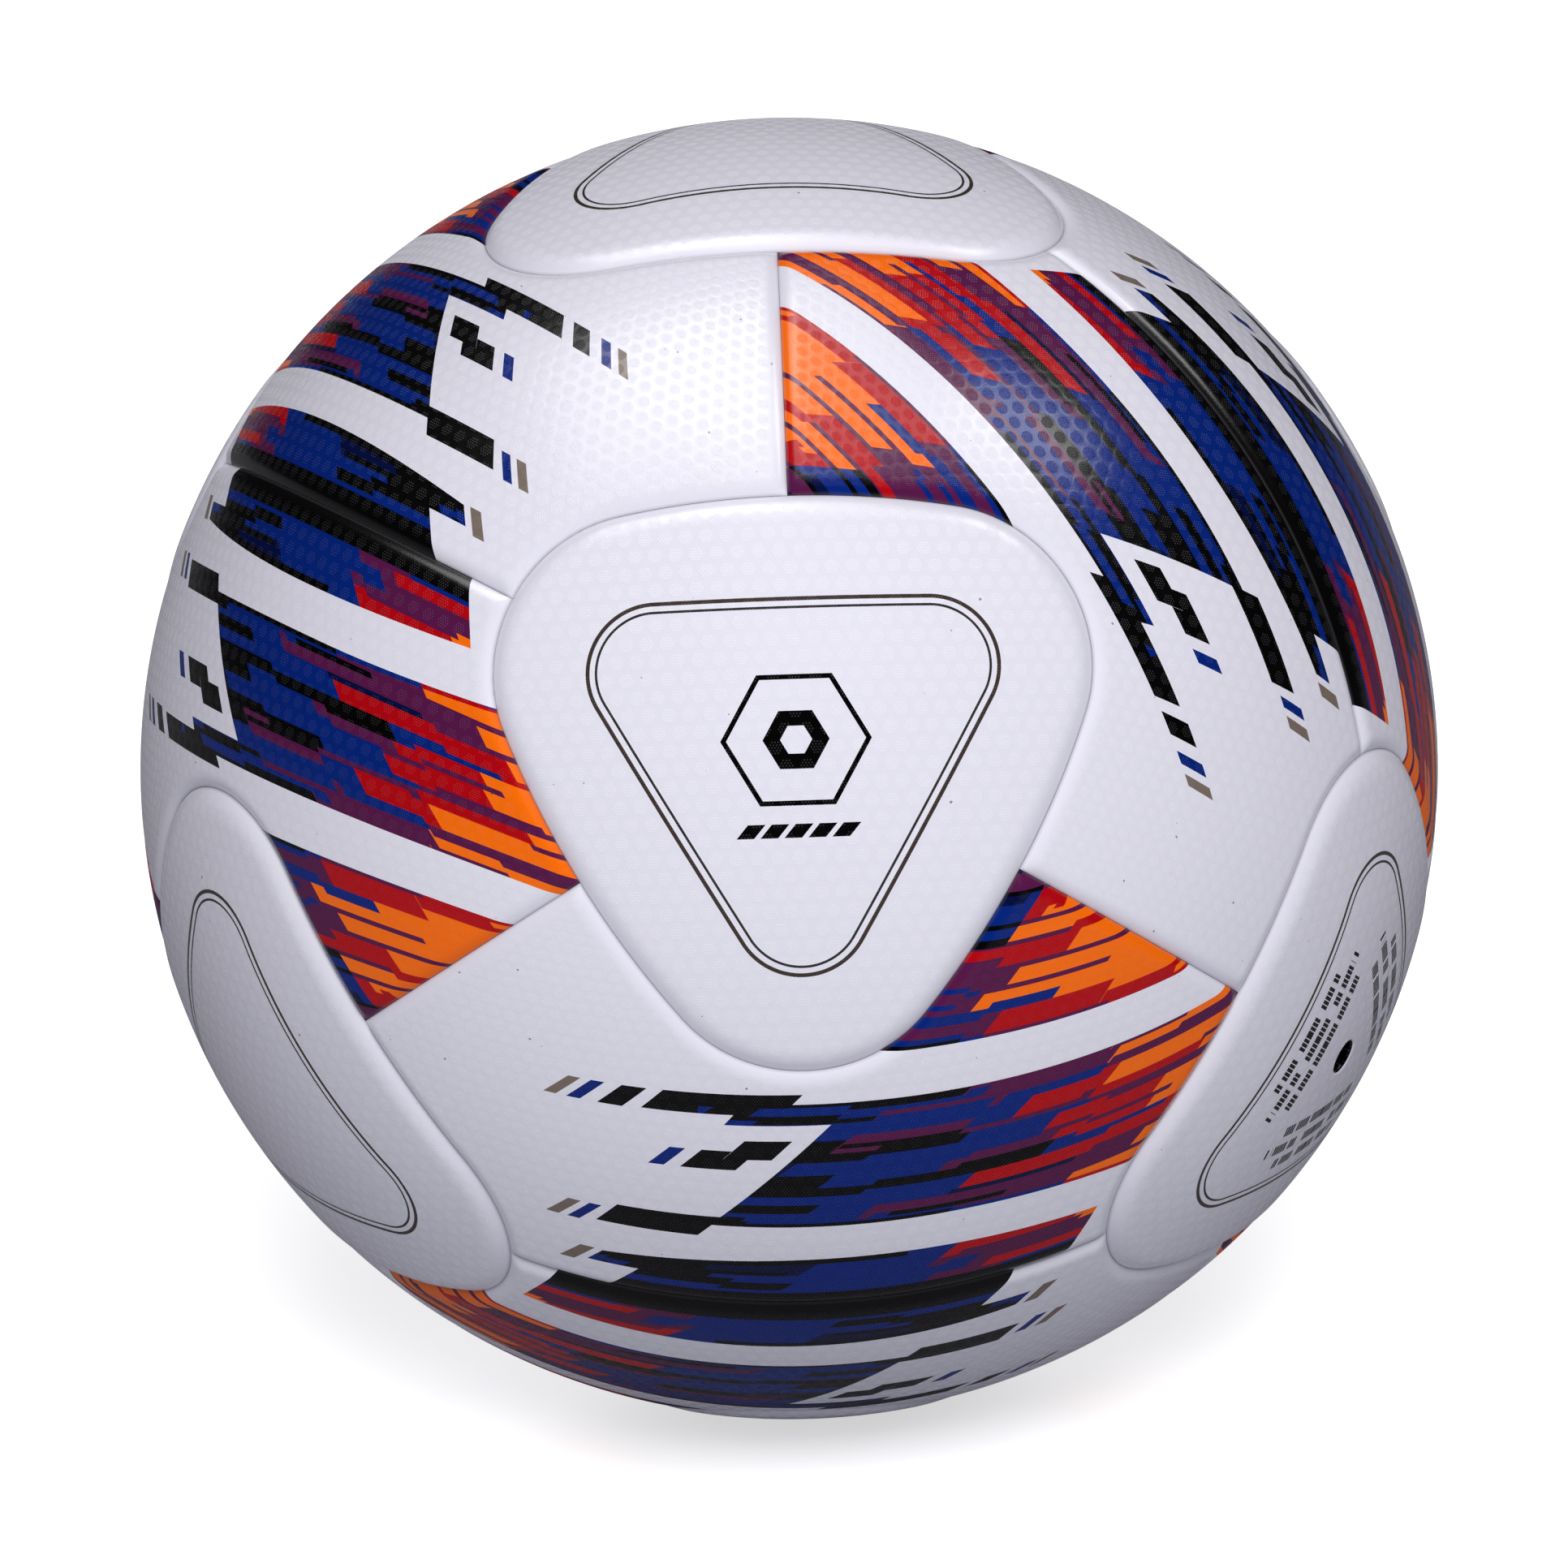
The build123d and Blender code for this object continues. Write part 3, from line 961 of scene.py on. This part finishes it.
def triangle_matrix(corner):
    """Takes a triangle to its corner, with its first tip lowest there, or at a pole in front."""
    out = CORNERS[corner]
    neighbours = [other for other in CORNERS.values() if abs(other @ out - 1 / 3) < 0.01]
    downs = [-unit(other - out * (other @ out)) for other in neighbours]
    down = min(downs, key=lambda d: (round(d[2], 6), d[1]))
    up = -down
    right = np.cross(up, out)
    return np.column_stack([right, up, out])


def add_triangles():
    plain = triangle_shape(0.0)
    pierced = triangle_shape(VALVE_HOLE_R)
    line_only = triangle_material("triangle_skin", None)
    special = {
        BADGE_CORNER: (plain, triangle_material("badge_skin", badge_marks)),
        VALVE_CORNER: (pierced, triangle_material("valve_skin", valve_marks)),
    }
    for name in CORNERS:
        (points, faces, places), material = special.get(name, (plain, line_only))
        piece = make_panel(f"skin_{name}", points, faces, places, triangle_matrix(name), material)
        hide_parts(f"triangle_{name}_skin")


# ---------------------------------------------------------------- camera, lights and floor


def view_axes():
    """Right, up and back of the camera, as directions in the ball's frame."""
    ca, sa = math.cos(CAMERA_AZIMUTH), math.sin(CAMERA_AZIMUTH)
    ce, se = math.cos(CAMERA_ELEVATION), math.sin(CAMERA_ELEVATION)
    back = Vector((sa * ce, -ca * ce, se))
    level = Vector((ca, sa, 0.0))
    upright = back.cross(level)
    cr, sr = math.cos(CAMERA_ROLL), math.sin(CAMERA_ROLL)
    return level * cr + upright * sr, upright * cr - level * sr, back


def add_camera():
    right, up, back = view_axes()
    camera = bpy.data.objects.new("camera", bpy.data.cameras.new("camera"))
    camera.data.lens = CAMERA_LENS
    camera.data.shift_x, camera.data.shift_y = CAMERA_SHIFT
    rotation = Matrix((right, up, back)).transposed().to_4x4()
    camera.matrix_world = Matrix.Translation(back * CAMERA_DISTANCE * BALL_R * MM) @ rotation
    bpy.context.scene.collection.objects.link(camera)
    bpy.context.scene.camera = camera


def add_light(name, place, size, power, reflected):
    """A soft light that faces the ball, either only reflected in its gloss or only lighting it."""
    data = bpy.data.lights.new(name, "AREA")
    data.shape = "RECTANGLE"
    data.size, data.size_y = size
    data.energy = power
    light = bpy.data.objects.new(name, data)
    light.visible_glossy = reflected
    light.visible_diffuse = not reflected
    place = Vector(place)
    turn = place.to_track_quat("Z", "Y").to_matrix().to_4x4()
    light.matrix_world = Matrix.Translation(place) @ turn
    bpy.context.scene.collection.objects.link(light)


def add_lights():
    """The studio's lamps: places and sizes in metres, powers in watts."""
    add_light("key", (0.20, -3.6, 3.25), (2.4, 2.4), 202.0, reflected=False)
    add_light("fill_back", (-0.60, 4.0, 0.60), (2.4, 1.2), 110.0, reflected=False)
    add_light("sheen_left", (-0.38, 0.00, 1.45), (0.86, 0.90), 9.6, reflected=True)
    add_light("sheen_right", (0.86, -0.05, 1.25), (0.42, 0.50), 4.2, reflected=True)
    add_light("sheen_above", (0.05, -0.10, 1.45), (0.90, 1.10), 7.5, reflected=True)


def add_world():
    """A white studio: dim as a light, so that the lamps shape the ball, and bright to look at."""
    world = bpy.data.worlds.new("studio")
    world.use_nodes = True
    tree = world.node_tree
    background = tree.nodes["Background"]
    background.inputs["Color"].default_value = STUDIO_COLOUR
    rays = tree.nodes.new("ShaderNodeLightPath")
    seen = Field(tree, rays.outputs["Is Camera Ray"])
    lighting = Field(tree, rays.outputs["Is Diffuse Ray"])
    strength = seen * STUDIO_SEEN + lighting * STUDIO_LIGHTING + STUDIO_REFLECTED
    feed(tree, background.inputs["Strength"], strength)
    bpy.context.scene.world = world


def floor_material():
    """White studio paper with a hardly visible grain, which throws back little of its light.

    Away from the ball, out of the lamps' reach, it glows a little more, to stay white.
    """
    material = new_material("floor")
    tree = material.node_tree
    place = tree.nodes.new("ShaderNodeTexCoord").outputs["Object"]
    across, along, _ = parts_of(tree, place)
    away = (across * across + along * along).math("SQRT").smooth(0.5, 3.5)
    white = mixed(tree, noise(tree, place, 40.0), paint(255, 255, 255), paint(251, 251, 253))
    rays = tree.nodes.new("ShaderNodeLightPath")
    seen = Field(tree, rays.outputs["Is Camera Ray"])
    shader = tree.nodes["Principled BSDF"]
    lighting = Field(tree, rays.outputs["Is Diffuse Ray"])
    unseen = mixed(tree, lighting, paint(120, 120, 124), paint(182, 183, 190))
    feed(tree, shader.inputs["Base Color"], mixed(tree, seen, unseen, white))
    glow = away * FLOOR_GLOW_AWAY + FLOOR_GLOW
    feed(tree, shader.inputs["Emission Strength"], seen * glow)
    shader.inputs["Roughness"].default_value = 0.95
    shader.inputs["Specular IOR Level"].default_value = 0.1
    return material


def add_floor():
    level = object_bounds()[0].z
    sides = ((-1, -1), (1, -1), (1, 1), (-1, 1))
    corners = [(x * FLOOR_HALF, y * FLOOR_HALF, level) for x, y in sides]
    mesh = bpy.data.meshes.new("floor")
    mesh.from_pydata(corners, [], [(0, 1, 2, 3)])
    mesh.materials.append(floor_material())
    floor = bpy.data.objects.new("floor", mesh)
    bpy.context.scene.collection.objects.link(floor)


# ---------------------------------------------------------------- the scene

add_triangles()
add_wings()
dress_inner_nodes()
add_floor()
add_lights()
add_world()
add_camera()
bpy.context.scene.view_settings.view_transform = "Standard"
